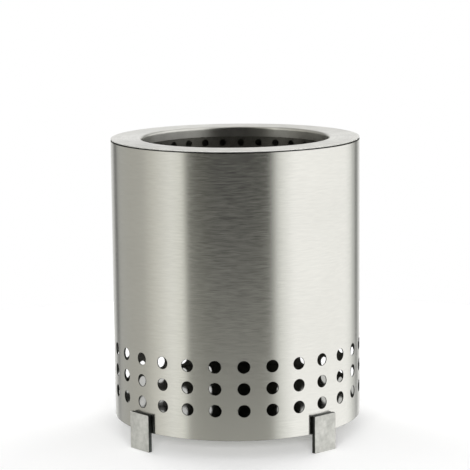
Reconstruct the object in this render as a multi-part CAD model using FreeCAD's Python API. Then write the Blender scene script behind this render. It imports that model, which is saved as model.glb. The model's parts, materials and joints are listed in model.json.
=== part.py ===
import FreeCAD, Part

import math
import os

V = FreeCAD.Vector
UP = V(0, 0, 1)

# A free-standing smokeless fire pit: a perforated casing, a firebox inside it with an air gap all round,
# a lift-off ring that closes the gap at the top, and a lift-out ash pan with a grate on it.
# Millimetres. The origin is on the ground under the middle of the casing, +Z is up and -Y is the front.

# Casing
casing_radius = 135.0
casing_height = 303.0
casing_wall = 1.0
casing_bend_radius = 2.0
casing_lip_width = 6.0
ground_clearance = 20.0

# Air inlet holes of the casing
vent_columns = 28
vent_rows = 3
vent_radius = 6.5
vent_row_pitch = 23.4
lowest_vent_height = 32.0

# Legs, cut from flat bar
leg_count = 4
leg_width = 30.0
leg_thickness = 5.0
leg_height = 40.0
leg_edge_chamfer = 0.4
leg_names = ("leg_rear_right", "leg_rear_left", "leg_front_left", "leg_front_right")

# Screws that clamp leg, casing and base plate together
leg_screw_radius = 2.0
leg_screw_spacing = 16.0
leg_screw_bite = 3.4
leg_screw_drill_depth = 4.0
leg_screw_head_radius = 3.5
leg_screw_head_height = 3.0
leg_screw_socket_flats = 2.5
leg_screw_socket_depth = 1.6

# Base plate, which closes the casing just under its air inlet holes, with its flange turned down
base_sheet = 1.2
base_drop = 2.5
base_flange_height = 20.0
base_bend_radius = 3.0

# Ring that closes the gap between casing and firebox
ring_width = 33.0
ring_sheet = 1.2
ring_setback = 0.3
ring_bend_radius = 3.0
ring_collar_depth = 12.0

# Firebox, which hangs in the casing by the angle ring round its top
firebox_sheet = 1.0
firebox_flange_sheet = 1.0
firebox_flange_setback = 2.0
firebox_flange_neck = 10.0
firebox_flange_bend_radius = 2.5
firebox_lift_over_vents = 2.8
firebox_floor_sheet = 1.2
firebox_floor_flange = 8.0
firebox_floor_bend_radius = 2.5
primary_columns = 24
primary_rows = 2
primary_radius = 5.0
primary_row_pitch = 14.0
lowest_primary_height = 16.0
secondary_count = 32
secondary_radius = 4.0
secondary_drop = 19.0

# Ledge inside the firebox that carries the ash pan
ledge_height = 44.0
ledge_sheet = 2.0
ledge_flange_height = 8.0
ledge_bend_radius = 3.0

# Ash pan
ash_pan_sheet = 1.0
ash_pan_rim_width = 11.0
ash_pan_depth = 34.0
ash_pan_rim_bend_radius = 2.0
ash_pan_floor_bend_radius = 4.0
ash_pan_hole_count = 20
ash_pan_hole_radius = 4.5
ash_pan_hole_drop = 14.0

# Handle strap riveted into the ash pan
strap_sheet = 2.0
strap_width = 18.0
strap_height = 22.0
strap_half_top = 28.0
strap_spread = 8.0
strap_foot = 16.0
strap_bend_radius = 4.0
strap_rivet_spacing = 9.0

# Grate, pressed into a shallow dish that sits in the mouth of the ash pan
grate_sheet = 2.5
grate_rim_setback = 3.0
grate_dish_depth = 4.0
grate_dish_spread = 2.0
grate_bend_radius = 1.0
grate_hole_radius = 4.5
grate_hole_spacing = 16.0
grate_first_row_radius = 32.0
grate_row_pitch = 14.5

# Folding lift ring of the grate, bent from wire
lift_ring_wire_radius = 2.0
lift_ring_half_width = 18.0
lift_ring_corner_radius = 6.0
lift_ring_reach = 26.0
lift_ring_offset = 12.0

# Saddle that holds the lift ring
saddle_sheet = 1.5
saddle_width = 13.0
saddle_foot = 9.0

# Clips, spot-welded inside the casing, that centre the lower end of the firebox
clip_count = 4
clip_sheet = 1.5
clip_width = 20.0
clip_foot = 20.0
clip_slope = 12.0
clip_pad = 14.0
clip_bend_radius = 4.0
clip_height = 38.0
clip_names = ("spacer_clip_right", "spacer_clip_rear", "spacer_clip_left", "spacer_clip_front")

# Rivets
rivet_radius = 1.6
rivet_head_radius = 3.0
rivet_head_height = 1.2

# Clearances
screw_clearance = 0.25
thread_clearance = 0.05
rivet_clearance = 0.05
seam_gap = 0.05
seat_gap = 0.05
collar_clearance = 0.8
lift_out_clearance = 4.0
ledge_clearance = 3.0
dish_clearance = 1.5
clip_clearance = 0.3
lift_ring_clearance = 0.08

# One overrun serves every cut
overrun = 1.0

# Levels and radii worked out from the sizes above
casing_inner_radius = casing_radius - casing_wall
casing_top = ground_clearance + casing_height
lip_inner_radius = casing_inner_radius - casing_lip_width
lowest_vent_level = ground_clearance + lowest_vent_height
leg_inner_face = casing_radius + seat_gap
leg_angle = math.pi / leg_count
base_outer_radius = casing_inner_radius - seam_gap
base_inner_radius = base_outer_radius - base_sheet
base_top = lowest_vent_level - vent_radius - base_drop
base_flange_end = base_top - base_flange_height
leg_screw_level = (base_flange_end + leg_height) / 2
firebox_flange_bottom = casing_top + seat_gap
firebox_top = firebox_flange_bottom + firebox_flange_sheet
firebox_flange_radius = casing_radius - firebox_flange_setback
ring_bottom = firebox_top + seat_gap
ring_top = ring_bottom + ring_sheet
ring_outer_radius = casing_radius - ring_setback
ring_opening_radius = casing_radius - ring_width
collar_outer_radius = ring_opening_radius + ring_sheet
firebox_inner_radius = collar_outer_radius + collar_clearance
firebox_outer_radius = firebox_inner_radius + firebox_sheet
top_vent_level = lowest_vent_level + (vent_rows - 1) * vent_row_pitch
firebox_floor_level = top_vent_level + vent_radius + firebox_lift_over_vents
firebox_floor_top = firebox_floor_level + firebox_floor_sheet
firebox_floor_radius = firebox_inner_radius - seam_gap
lowest_primary_level = firebox_floor_level + lowest_primary_height
secondary_level = ring_top - secondary_drop
ledge_top = firebox_floor_level + ledge_height
rim_radius = ring_opening_radius - lift_out_clearance
ash_pan_outer_radius = rim_radius - ash_pan_rim_width
ash_pan_inner_radius = ash_pan_outer_radius - ash_pan_sheet
ledge_inner_radius = ash_pan_outer_radius + ledge_clearance
ash_pan_rim_bottom = ledge_top + seat_gap
ash_pan_rim_top = ash_pan_rim_bottom + ash_pan_sheet
ash_pan_bottom = ash_pan_rim_top - ash_pan_depth
ash_pan_floor_top = ash_pan_bottom + ash_pan_sheet
grate_bottom = ash_pan_rim_top + seat_gap
dish_floor_radius = ash_pan_inner_radius - dish_clearance
dish_bottom = grate_bottom - grate_dish_depth
dish_top = dish_bottom + grate_sheet
last_row_limit = dish_floor_radius - grate_sheet - grate_bend_radius - grate_hole_radius
grate_row_count = 1 + int((last_row_limit - grate_first_row_radius) / grate_row_pitch)
lift_ring_hold_radius = lift_ring_wire_radius + lift_ring_clearance
lift_ring_level = dish_top + lift_ring_hold_radius
clip_bottom = firebox_floor_level + clip_height


def section_point(radius, height):
    """A point of a section that is spun about the vertical axis or drawn out sideways."""
    return V(radius, 0, height)


def rounded_path(points, radii):
    """Straight runs between the points, with a tangent arc at each corner."""
    edges = []
    start = points[0]
    for before, here, after, radius in zip(points, points[1:], points[2:], radii):
        back = (before - here).normalize()
        ahead = (after - here).normalize()
        half_angle = back.getAngle(ahead) / 2
        reach = radius / math.tan(half_angle)
        middle = here + (back + ahead).normalize() * (radius / math.sin(half_angle) - radius)
        arc_start = here + back * reach
        arc_end = here + ahead * reach
        edges.append(Part.LineSegment(start, arc_start).toShape())
        edges.append(Part.Arc(arc_start, middle, arc_end).toShape())
        start = arc_end
    edges.append(Part.LineSegment(start, points[-1]).toShape())
    return Part.Wire(edges)


def folded(points, radii, sheet):
    """The section of a folded sheet: one side on the points, the other a sheet away to their left."""
    return rounded_path(points, radii).makeOffset2D(sheet, 0, True, True)


def spun(section):
    """A round piece: the section turned once about the vertical axis."""
    return section.revolve(V(0, 0, 0), UP, 360)


def drawn_out(section, width):
    """A straight piece: the section drawn out to a width, half of it on each side."""
    return section.extrude(V(0, width, 0)).translated(V(0, -width / 2, 0))


def turned(shape, angle):
    """A copy turned about the vertical axis, by an angle in radians."""
    return shape.rotated(V(0, 0, 0), UP, math.degrees(angle))


def around(shape, count, start=0.0):
    """Copies evenly spaced about the vertical axis, the first one turned by the start angle."""
    return [turned(shape, start + math.tau * step / count) for step in range(count)]


def raised(shape, level, x=0.0, y=0.0):
    """A copy moved up to a level, and sideways if asked."""
    return shape.translated(V(x, y, level))


def laid_outward(shape, near, level, sideways=0.0):
    """A copy of an upright shape laid down: its foot is at near, and it points away from the axis."""
    return shape.rotated(V(0, 0, 0), V(0, 1, 0), 90).translated(V(near, sideways, level))


def rod(radius, near, far, level, sideways=0.0):
    """A level cylinder that points away from the axis."""
    return laid_outward(Part.makeCylinder(radius, far - near), near, level, sideways)


def post(radius, bottom, top, x=0.0, y=0.0):
    """An upright cylinder between two levels."""
    return raised(Part.makeCylinder(radius, top - bottom), bottom, x, y)


def hex_post(flats, bottom, top):
    """An upright hexagonal bar on the axis."""
    corner_radius = flats / math.sqrt(3)
    first_corner = V(corner_radius, 0, bottom)
    corners = [turned(Part.Vertex(first_corner), math.tau * step / 6).Point for step in range(7)]
    return Part.Face(Part.makePolygon(corners)).extrude(V(0, 0, top - bottom))


def flat_seat(radius, half_width):
    """How far from the axis a flat face this wide can lie inside a round wall."""
    return math.sqrt(radius ** 2 - half_width ** 2)


def round_head(radius, height):
    """A low domed head with its flat side at zero."""
    dome_radius = (radius ** 2 + height ** 2) / (2 * height)
    half_angle = math.asin(radius / dome_radius) / 2
    shoulder_drop = dome_radius * (1 - math.cos(half_angle))
    shoulder = section_point(dome_radius * math.sin(half_angle), height - shoulder_drop)
    foot, rim, crown = V(0, 0, 0), section_point(radius, 0), section_point(0, height)
    dome = Part.Arc(rim, shoulder, crown).toShape()
    base = Part.LineSegment(foot, rim).toShape()
    core = Part.LineSegment(crown, foot).toShape()
    return spun(Part.Face(Part.Wire([base, dome, core])))


def rivet(grip):
    """An upright rivet that holds sheets from zero up to the grip, with a domed head at each end."""
    head = round_head(rivet_head_radius, rivet_head_height)
    lower_head = head.rotated(V(0, 0, 0), V(1, 0, 0), 180)
    return post(rivet_radius, 0, grip).fuse([lower_head, raised(head, grip)]).removeSplitter()


def save(name, solids):
    """Write one node, a single solid or a group of identical ones."""
    shape = solids[0] if len(solids) == 1 else Part.makeCompound(solids)
    if not shape.isValid():
        raise ValueError(name + " is not a valid solid")
    shape.exportStep("parts/" + name + ".step")
    print(name, len(shape.Solids), round(shape.Volume))


def rivet_hole(sheet):
    """An upright cutter for one rivet, from an overrun below zero to an overrun above a sheet."""
    return post(rivet_radius + rivet_clearance, -overrun, sheet + overrun)


def screw_rods(radius, near, far):
    """The pair of level rods, side by side, where the screws of one leg run."""
    half = leg_screw_spacing / 2
    return [rod(radius, near, far, leg_screw_level, sideways) for sideways in (-half, half)]


def leg_screw_holes():
    """Clearance holes for all leg screws, for the casing and the base plate."""
    hole_radius = leg_screw_radius + screw_clearance
    near = base_inner_radius - leg_screw_head_height
    pair = Part.makeCompound(screw_rods(hole_radius, near, leg_inner_face))
    return around(pair, leg_count, leg_angle)


def vent_holes():
    """The rows of air inlet holes in the casing."""
    levels = [lowest_vent_level + row * vent_row_pitch for row in range(vent_rows)]
    column = [rod(vent_radius, firebox_outer_radius, casing_radius + overrun, level) for level in levels]
    return around(Part.makeCompound(column), vent_columns, leg_angle)


def outer_shell():
    """The casing: a rolled wall with a lip turned in at the top."""
    bottom = section_point(casing_radius, ground_clearance)
    corner = section_point(casing_radius, casing_top)
    lip_end = section_point(lip_inner_radius, casing_top)
    wall = spun(folded((bottom, corner, lip_end), (casing_bend_radius,), casing_wall))
    return wall.cut(vent_holes() + leg_screw_holes())


def top_ring():
    """The flat ring over the air gap, with a collar turned down into the firebox."""
    outer_end = section_point(ring_outer_radius, ring_top)
    corner = section_point(ring_opening_radius, ring_top)
    collar_end = section_point(ring_opening_radius, ring_top - ring_collar_depth)
    return spun(folded((outer_end, corner, collar_end), (ring_bend_radius,), ring_sheet))


def firebox_wall():
    """The inner wall, with primary air holes low down and secondary air holes near the top."""
    bore = post(firebox_inner_radius, firebox_floor_level - overrun, firebox_flange_bottom + overrun)
    wall = post(firebox_outer_radius, firebox_floor_level, firebox_flange_bottom).cut(bore)
    near = firebox_inner_radius - overrun
    far = firebox_outer_radius + overrun
    levels = [lowest_primary_level + row * primary_row_pitch for row in range(primary_rows)]
    primary = Part.makeCompound([rod(primary_radius, near, far, level) for level in levels])
    secondary = rod(secondary_radius, near, far, secondary_level)
    return wall.cut(around(primary, primary_columns) + around(secondary, secondary_count))


def firebox_flange():
    """The angle ring, spot-welded round the top of the firebox wall, that rests on the casing's lip."""
    neck_radius = firebox_outer_radius + seam_gap + firebox_flange_sheet
    neck_end = section_point(neck_radius, firebox_top - firebox_flange_neck)
    corner = section_point(neck_radius, firebox_flange_bottom)
    flange_end = section_point(firebox_flange_radius, firebox_flange_bottom)
    section = folded((neck_end, corner, flange_end), (firebox_flange_bend_radius,), firebox_flange_sheet)
    return spun(section)


def firebox_floor():
    """The pressed floor of the firebox, with its flange turned up inside the wall."""
    flange_end = section_point(firebox_floor_radius, firebox_floor_top + firebox_floor_flange)
    corner = section_point(firebox_floor_radius, firebox_floor_level)
    centre = section_point(0, firebox_floor_level)
    return spun(folded((centre, corner, flange_end), (firebox_floor_bend_radius,), firebox_floor_sheet))


def firebox_ledge():
    """The angle ring inside the firebox that the ash pan hangs on."""
    flange_end = section_point(firebox_floor_radius, ledge_top - ledge_flange_height)
    corner = section_point(firebox_floor_radius, ledge_top)
    inner_end = section_point(ledge_inner_radius, ledge_top)
    return spun(folded((flange_end, corner, inner_end), (ledge_bend_radius,), ledge_sheet))


def base_plate():
    """The plate under the air inlet holes, with its flange turned down inside the casing to the legs."""
    flange_end = section_point(base_outer_radius, base_flange_end)
    corner = section_point(base_outer_radius, base_top)
    centre = section_point(0, base_top)
    plate = spun(folded((flange_end, corner, centre), (base_bend_radius,), base_sheet))
    return plate.cut(leg_screw_holes())


def leg():
    """A leg of flat bar, with blind tapped holes in the face that meets the casing."""
    bar = Part.makeBox(leg_thickness, leg_width, leg_height, V(leg_inner_face, -leg_width / 2, 0))
    bar = bar.makeChamfer(leg_edge_chamfer, bar.Edges)
    hole_radius = leg_screw_radius + thread_clearance
    drill_end = leg_inner_face + leg_screw_drill_depth
    return bar.cut(screw_rods(hole_radius, leg_inner_face - overrun, drill_end))


def leg_screws():
    """Socket-head screws that clamp the legs, driven from inside the base plate's flange."""
    half = leg_screw_spacing / 2
    seat = flat_seat(base_inner_radius, half + leg_screw_head_radius)
    shank = post(leg_screw_radius, 0, leg_inner_face + leg_screw_bite - seat)
    head = post(leg_screw_head_radius, -leg_screw_head_height, 0)
    socket_floor = leg_screw_socket_depth - leg_screw_head_height
    socket = hex_post(leg_screw_socket_flats, -leg_screw_head_height - overrun, socket_floor)
    screw = head.fuse(shank).cut(socket)
    pair = [laid_outward(screw, seat, leg_screw_level, sideways) for sideways in (-half, half)]
    screws = []
    for one in pair:
        screws += around(one, leg_count, leg_angle)
    return screws


def spacer_clip():
    """A bent strip, spot-welded to the casing, whose pad stands just off the firebox."""
    pad_face = firebox_outer_radius + clip_clearance + clip_sheet
    wall_face = flat_seat(casing_inner_radius, clip_width / 2) - seat_gap
    pad_end = section_point(pad_face, clip_bottom)
    near_bend = section_point(pad_face, clip_bottom + clip_pad)
    far_bend = section_point(wall_face, clip_bottom + clip_pad + clip_slope)
    foot_end = section_point(wall_face, clip_bottom + clip_pad + clip_slope + clip_foot)
    section = folded((pad_end, near_bend, far_bend, foot_end), (clip_bend_radius,) * 2, clip_sheet)
    return drawn_out(section, clip_width)


def strap_rivet_places():
    """Where the four rivets of the ash pan's handle stand."""
    across = strap_half_top + strap_spread + strap_foot / 2 + strap_bend_radius / 2
    half = strap_rivet_spacing / 2
    return [(x, y) for x in (-across, across) for y in (-half, half)]


def ash_pan():
    """The lift-out pan: it hangs by its rim, and holes in its side let air in under the grate."""
    centre = section_point(0, ash_pan_bottom)
    floor_corner = section_point(ash_pan_outer_radius, ash_pan_bottom)
    rim_corner = section_point(ash_pan_outer_radius, ash_pan_rim_bottom)
    rim_end = section_point(rim_radius, ash_pan_rim_bottom)
    radii = (ash_pan_floor_bend_radius, ash_pan_rim_bend_radius)
    pan = spun(folded((centre, floor_corner, rim_corner, rim_end), radii, ash_pan_sheet))
    hole_level = ash_pan_rim_top - ash_pan_hole_drop
    far = ash_pan_outer_radius + overrun
    air_hole = rod(ash_pan_hole_radius, ash_pan_inner_radius - overrun, far, hole_level)
    rivet_holes = [raised(rivet_hole(ash_pan_sheet), ash_pan_bottom, x, y) for x, y in strap_rivet_places()]
    return pan.cut(around(air_hole, ash_pan_hole_count) + rivet_holes)


def ash_pan_handle():
    """A strap bent like a bridge, riveted to the floor of the ash pan."""
    half_base = strap_half_top + strap_spread
    end = half_base + strap_foot
    base = ash_pan_floor_top
    underside = base + strap_height - strap_sheet
    left = [(-end, base), (-half_base, base), (-strap_half_top, underside)]
    right = [(strap_half_top, underside), (half_base, base), (end, base)]
    points = [section_point(x, height) for x, height in left + right]
    strap = drawn_out(folded(points, (strap_bend_radius,) * 4, strap_sheet), strap_width)
    return strap.cut([raised(rivet_hole(strap_sheet), base, x, y) for x, y in strap_rivet_places()])


def ash_pan_rivets():
    """The rivets that hold the handle strap to the ash pan."""
    one = rivet(ash_pan_sheet + strap_sheet)
    return [raised(one, ash_pan_bottom, x, y) for x, y in strap_rivet_places()]


def fire_grate():
    """The perforated grate: a flat rim on the ash pan, and a dished middle that keeps it centred."""
    centre = section_point(0, dish_bottom)
    dish_corner = section_point(dish_floor_radius, dish_bottom)
    rim_corner = section_point(dish_floor_radius + grate_dish_spread, grate_bottom)
    rim_end = section_point(rim_radius - grate_rim_setback, grate_bottom)
    radii = (grate_bend_radius + grate_sheet, grate_bend_radius)
    plate = spun(folded((centre, dish_corner, rim_corner, rim_end), radii, grate_sheet))
    holes = []
    for row in range(grate_row_count):
        row_radius = grate_first_row_radius + row * grate_row_pitch
        count = round(math.tau * row_radius / grate_hole_spacing)
        hole = post(grate_hole_radius, dish_bottom - overrun, dish_top + overrun, row_radius)
        holes += around(hole, count)
    holes += [raised(rivet_hole(grate_sheet), dish_bottom, 0, y) for y in saddle_rivet_places()]
    return plate.cut(holes)


def lift_ring():
    """The wire ring, lying flat. Its straight side runs in the saddle; its far side is a half circle."""
    half = lift_ring_half_width
    back = -lift_ring_offset
    front = back + lift_ring_reach
    left_end = V(-half, front - half, 0)
    right_end = V(half, front - half, 0)
    corners = [left_end, V(-half, back, 0), V(half, back, 0), right_end]
    sides = rounded_path(corners, (lift_ring_corner_radius,) * 2)
    far_side = Part.Arc(right_end, V(0, front, 0), left_end).toShape()
    path = Part.Wire(sides.OrderedEdges + [far_side])
    section = Part.Wire(Part.makeCircle(lift_ring_wire_radius, left_end, V(0, 1, 0)))
    return raised(path.makePipeShell([section], True, False), lift_ring_level)


def saddle_rivet_places():
    """Where the two rivets of the saddle stand, one on each side of the lift ring's straight side."""
    reach = lift_ring_hold_radius + saddle_sheet + saddle_foot / 2
    return (-lift_ring_offset - reach, -lift_ring_offset + reach)


def ring_saddle():
    """A strip bent over the lift ring's straight side, with a foot on each side of it."""
    hold = lift_ring_hold_radius
    end = hold + saddle_sheet + saddle_foot
    crown = section_point(0, lift_ring_level + hold)
    stops = [section_point(x, dish_top) for x in (-end, -hold, hold, end)]
    springs = [section_point(x, lift_ring_level) for x in (-hold, hold)]
    edges = [
        Part.LineSegment(stops[0], stops[1]),
        Part.LineSegment(stops[1], springs[0]),
        Part.Arc(springs[0], crown, springs[1]),
        Part.LineSegment(springs[1], stops[2]),
        Part.LineSegment(stops[2], stops[3]),
    ]
    path = Part.Wire([edge.toShape() for edge in edges])
    strip = drawn_out(path.makeOffset2D(saddle_sheet, 0, True, True), saddle_width)
    placed = turned(strip, math.pi / 2).translated(V(0, -lift_ring_offset, 0))
    return placed.cut([raised(rivet_hole(saddle_sheet), dish_top, 0, y) for y in saddle_rivet_places()])


def saddle_rivets():
    """The rivets that hold the saddle to the grate."""
    one = rivet(grate_sheet + saddle_sheet)
    return [raised(one, dish_bottom, 0, y) for y in saddle_rivet_places()]


os.makedirs("parts", exist_ok=True)
save("outer_shell", [outer_shell()])
save("top_ring", [top_ring()])
save("firebox_wall", [firebox_wall()])
save("firebox_flange", [firebox_flange()])
save("firebox_floor", [firebox_floor()])
save("firebox_ledge", [firebox_ledge()])
save("base_plate", [base_plate()])
for name, solid in zip(leg_names, around(leg(), leg_count, leg_angle)):
    save(name, [solid])
save("leg_screws", leg_screws())
for name, solid in zip(clip_names, around(spacer_clip(), clip_count)):
    save(name, [solid])
save("ash_pan", [ash_pan()])
save("ash_pan_handle", [ash_pan_handle()])
save("ash_pan_rivets", ash_pan_rivets())
save("fire_grate", [fire_grate()])
save("lift_ring", [lift_ring()])
save("ring_saddle", [ring_saddle()])
save("saddle_rivets", saddle_rivets())
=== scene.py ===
import json
import math
from functools import partial

import bmesh
import bpy
from mathutils import Matrix, Vector


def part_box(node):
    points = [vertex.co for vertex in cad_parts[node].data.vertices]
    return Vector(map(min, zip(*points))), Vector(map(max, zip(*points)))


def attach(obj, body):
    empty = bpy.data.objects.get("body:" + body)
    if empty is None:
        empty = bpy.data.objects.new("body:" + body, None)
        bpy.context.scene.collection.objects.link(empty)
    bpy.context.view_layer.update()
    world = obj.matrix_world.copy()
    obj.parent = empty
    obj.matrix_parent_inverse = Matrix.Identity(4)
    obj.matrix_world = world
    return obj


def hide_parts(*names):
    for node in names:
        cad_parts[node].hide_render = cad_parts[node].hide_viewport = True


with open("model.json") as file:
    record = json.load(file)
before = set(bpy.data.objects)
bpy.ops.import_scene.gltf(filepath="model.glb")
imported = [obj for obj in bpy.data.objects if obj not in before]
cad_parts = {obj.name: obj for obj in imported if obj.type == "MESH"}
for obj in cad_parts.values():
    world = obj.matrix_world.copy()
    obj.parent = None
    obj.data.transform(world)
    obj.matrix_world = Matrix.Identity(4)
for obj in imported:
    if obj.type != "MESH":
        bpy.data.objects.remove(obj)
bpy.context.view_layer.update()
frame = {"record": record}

# A smokeless fire pit in brushed stainless steel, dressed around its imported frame. Metres, -Y the front.

mm = 0.001

# The gap left between pieces that touch
seam = 0.05 * mm

# Casing, with its air inlet holes and its lip
casing_wall = 1.0 * mm
casing_bend_radius = 1.2 * mm
casing_lip_width = 6.0 * mm
vent_columns = 28
vent_rows = 3
vent_radius = 6.5 * mm
vent_edge_break = 0.3 * mm
vent_row_pitch = 23.4 * mm
lowest_vent_height = 32.0 * mm

# Ring over the air gap
ring_width = 33.0 * mm
ring_sheet = 0.8 * mm
ring_bend_radius = 3.0 * mm

# Firebox
firebox_sheet = 1.0 * mm
primary_columns = 24
primary_rows = 2
primary_radius = 5.0 * mm
primary_row_pitch = 14.0 * mm
lowest_primary_height = 16.0 * mm
secondary_columns = 32
secondary_radius = 4.0 * mm
secondary_drop = 19.0 * mm
flange_sheet = 0.6 * mm
flange_bend_radius = 2.5 * mm
floor_sheet = 1.2 * mm
floor_bend_radius = 2.5 * mm
ledge_sheet = 2.0 * mm
ledge_bend_radius = 3.0 * mm
ledge_inner_radius = 90.0 * mm

# Base plate under the vents
base_sheet = 1.2 * mm
base_bend_radius = 3.0 * mm

# Legs of flat bar and their screws
leg_angle = math.radians(45)
leg_width = 30.0 * mm
leg_thickness = 5.0 * mm
leg_edge_round = 0.5 * mm
screw_spacing = 16.0 * mm
screw_level = 31.5 * mm
screw_shank_radius = 2.0 * mm
screw_head_radius = 3.5 * mm
screw_head_height = 3.0 * mm
screw_socket_flats = 2.5 * mm
screw_socket_depth = 1.6 * mm
screw_edge = 0.3 * mm

# Clips between casing and firebox
clip_sheet = 1.5 * mm
clip_width = 20.0 * mm
clip_foot = 20.0 * mm
clip_slope = 12.0 * mm
clip_pad = 14.0 * mm
clip_bend_radius = 4.0 * mm
clip_play = 0.3 * mm

# Ash pan and its handle strap
pan_sheet = 1.0 * mm
pan_rim_width = 11.0 * mm
pan_rim_bend_radius = 2.0 * mm
pan_floor_bend_radius = 4.0 * mm
pan_columns = 20
pan_hole_radius = 4.5 * mm
pan_hole_drop = 14.0 * mm
strap_sheet = 2.0 * mm
strap_width = 18.0 * mm
strap_half_top = 28.0 * mm
strap_spread = 8.0 * mm
strap_bend_radius = 4.0 * mm
strap_rivet_spacing = 9.0 * mm

# Grate, lift ring and saddle
grate_sheet = 2.5 * mm
grate_rim_width = 8.5 * mm
grate_spread = 2.0 * mm
grate_bend_radius = 1.0 * mm
grate_hole_radius = 4.5 * mm
grate_hole_spacing = 16.0 * mm
grate_first_row_radius = 32.0 * mm
grate_row_pitch = 14.5 * mm
grate_row_count = 4
wire_radius = 2.0 * mm
wire_corner_radius = 6.0 * mm
saddle_sheet = 1.5 * mm
saddle_width = 13.0 * mm
saddle_foot = 9.0 * mm
saddle_play = 0.08 * mm

# Rivets
rivet_radius = 1.6 * mm
rivet_head_radius = 3.0 * mm
rivet_head_height = 1.2 * mm

# How finely round things are divided
turn_steps = 192
bend_steps = 6
bow_steps = 24
wire_steps = 16
punch_steps = 32
screw_steps = 48
rivet_steps = 32
floor_steps = 96
hole_rings = 4
vent_side_steps = 12
primary_side_steps = 16
secondary_side_steps = 12
pan_side_steps = 12

# How edges are broken, welded and shaded
cut_edge = 0.12 * mm
cut_edge_steps = 2
edge_above = math.radians(60)
smooth_below = math.radians(38)
weld_distance = 0.01 * mm

# How squarely a face looks out or up to get true normals, or to count as wall, side, lip or bar front
true_facing = 0.998
wall_facing = 0.97
side_facing = 0.5
lip_facing = 0.25
front_facing = 0.35

# The camera, from the fit to the photograph: metres, radians, and millimetres for its lens
camera_distance = 2.1458
camera_height = 0.5630
camera_compass = math.radians(3.57)
camera_dip = math.radians(9.181)
camera_tilt = math.radians(-0.577)
camera_aside = 0.0005
camera_lens = 152.14
camera_sensor = 36.0

# The room that the metal reflects: degrees to the camera's right, its wall's tone and its floor's tone
surroundings = [
    (-180, "#FFFFFF", "#FFFFFF"), (-168, "#E6E6E4", "#FFFFFF"), (-157, "#C4C4C2", "#F8F8F6"),
    (-151, "#989896", "#F0F0EE"), (-148, "#666664", "#E8E8E6"), (-144, "#666664", "#E4E4E2"),
    (-140, "#A0A09C", "#C0C0BC"), (-134, "#AAAAA5", "#AEAEAA"), (-112, "#ACABA4", "#ACABA4"),
    (-95, "#B0AFA8", "#B0AFA8"), (-80, "#CCCBC3", "#CCCBC3"), (-62, "#E6E6E0", "#E6E6E0"),
    (-50, "#E0E0D8", "#E0E0D8"), (-44, "#60605A", "#D8D8D0"), (-30, "#35352F", "#DCDCD3"),
    (-16, "#0D0D0F", "#DCDCD3"), (12, "#0B0B0D", "#DCDCD3"), (25, "#22221F", "#DCDCD3"),
    (31, "#4C4C47", "#DADAD2"), (40, "#E0E1DC", "#D6D7D1"), (54, "#FEFEFB", "#FEFEFB"),
    (122, "#FDFDFA", "#FDFDFA"), (132, "#EAEBE7", "#EAEBE7"), (138, "#BEBFBB", "#E2E3DF"),
    (144, "#B2B3B0", "#F0F0EE"), (146, "#686966", "#F8F8F6"), (150, "#727370", "#FFFFFF"),
    (154, "#ACADAA", "#FFFFFF"), (162, "#E0E0DE", "#FFFFFF"), (170, "#F8F8F6", "#FFFFFF"),
]
floor_seen_from = math.radians(11)
floor_seen_to = math.radians(21)

# The room's even light, and its floor
room_level = 0.43
floor_radius = 0.75
floor_level = 0.0
floor_thickness = 10.0 * mm
floor_tone = "#F9F9F9"
floor_lift = 0.07

# Soft lamps, for the floor's shadow: degrees to the camera's right, degrees above the floor, and watts
lamps = [(0, 12, 28.0), (135, 12, 19.0), (-135, 12, 19.0)]
lamp_distance = 1.4
lamp_width = 1.0
lamp_tall = 0.5


# Reading the frame


def lowest(node):
    """The level of a node's lowest point."""
    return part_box(node)[0].z


def highest(node):
    """The level of a node's highest point."""
    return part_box(node)[1].z


def reach(node):
    """A round node's outer radius."""
    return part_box(node)[1].x


# Node trees


def add_node(tree, kind, inputs=None, **settings):
    """Adds a node, sets its properties, and fills its inputs or links them, to a node's first output."""
    node = tree.nodes.new(kind)
    for name, value in settings.items():
        setattr(node, name, value)
    for key, value in (inputs or {}).items():
        if isinstance(value, bpy.types.Node):
            value = value.outputs[0]
        if isinstance(value, bpy.types.NodeSocket):
            tree.links.new(value, node.inputs[key])
        else:
            node.inputs[key].default_value = value
    return node


def add_tree(name, inputs):
    """A Geometry Nodes tree with named inputs, what adds a node to it, and its input node's outputs."""
    tree = bpy.data.node_groups.new(name, "GeometryNodeTree")
    tree.interface.new_socket("Geometry", in_out="INPUT", socket_type="NodeSocketGeometry")
    for label, kind in inputs.items():
        tree.interface.new_socket(label, in_out="INPUT", socket_type="NodeSocket" + kind)
    tree.interface.new_socket("Geometry", in_out="OUTPUT", socket_type="NodeSocketGeometry")
    add = partial(add_node, tree)
    return tree, add, add("NodeGroupInput").outputs


def end_tree(tree, shape, finish):
    """Ends a tree: real geometry, with its material, to the output."""
    real = add_node(tree, "GeometryNodeRealizeInstances", {0: shape})
    finished = add_node(tree, "GeometryNodeSetMaterial", {"Geometry": real, "Material": finish})
    add_node(tree, "NodeGroupOutput", {0: finished})
    return tree


def grow(obj, tree, values):
    """Puts a tree on an object as a modifier, with its inputs set by their identifiers."""
    modifier = obj.modifiers.new(tree.name, "NODES")
    modifier.node_group = tree
    for item in tree.interface.items_tree:
        if item.in_out == "INPUT" and item.name in values:
            modifier[item.identifier] = values[item.name]


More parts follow.
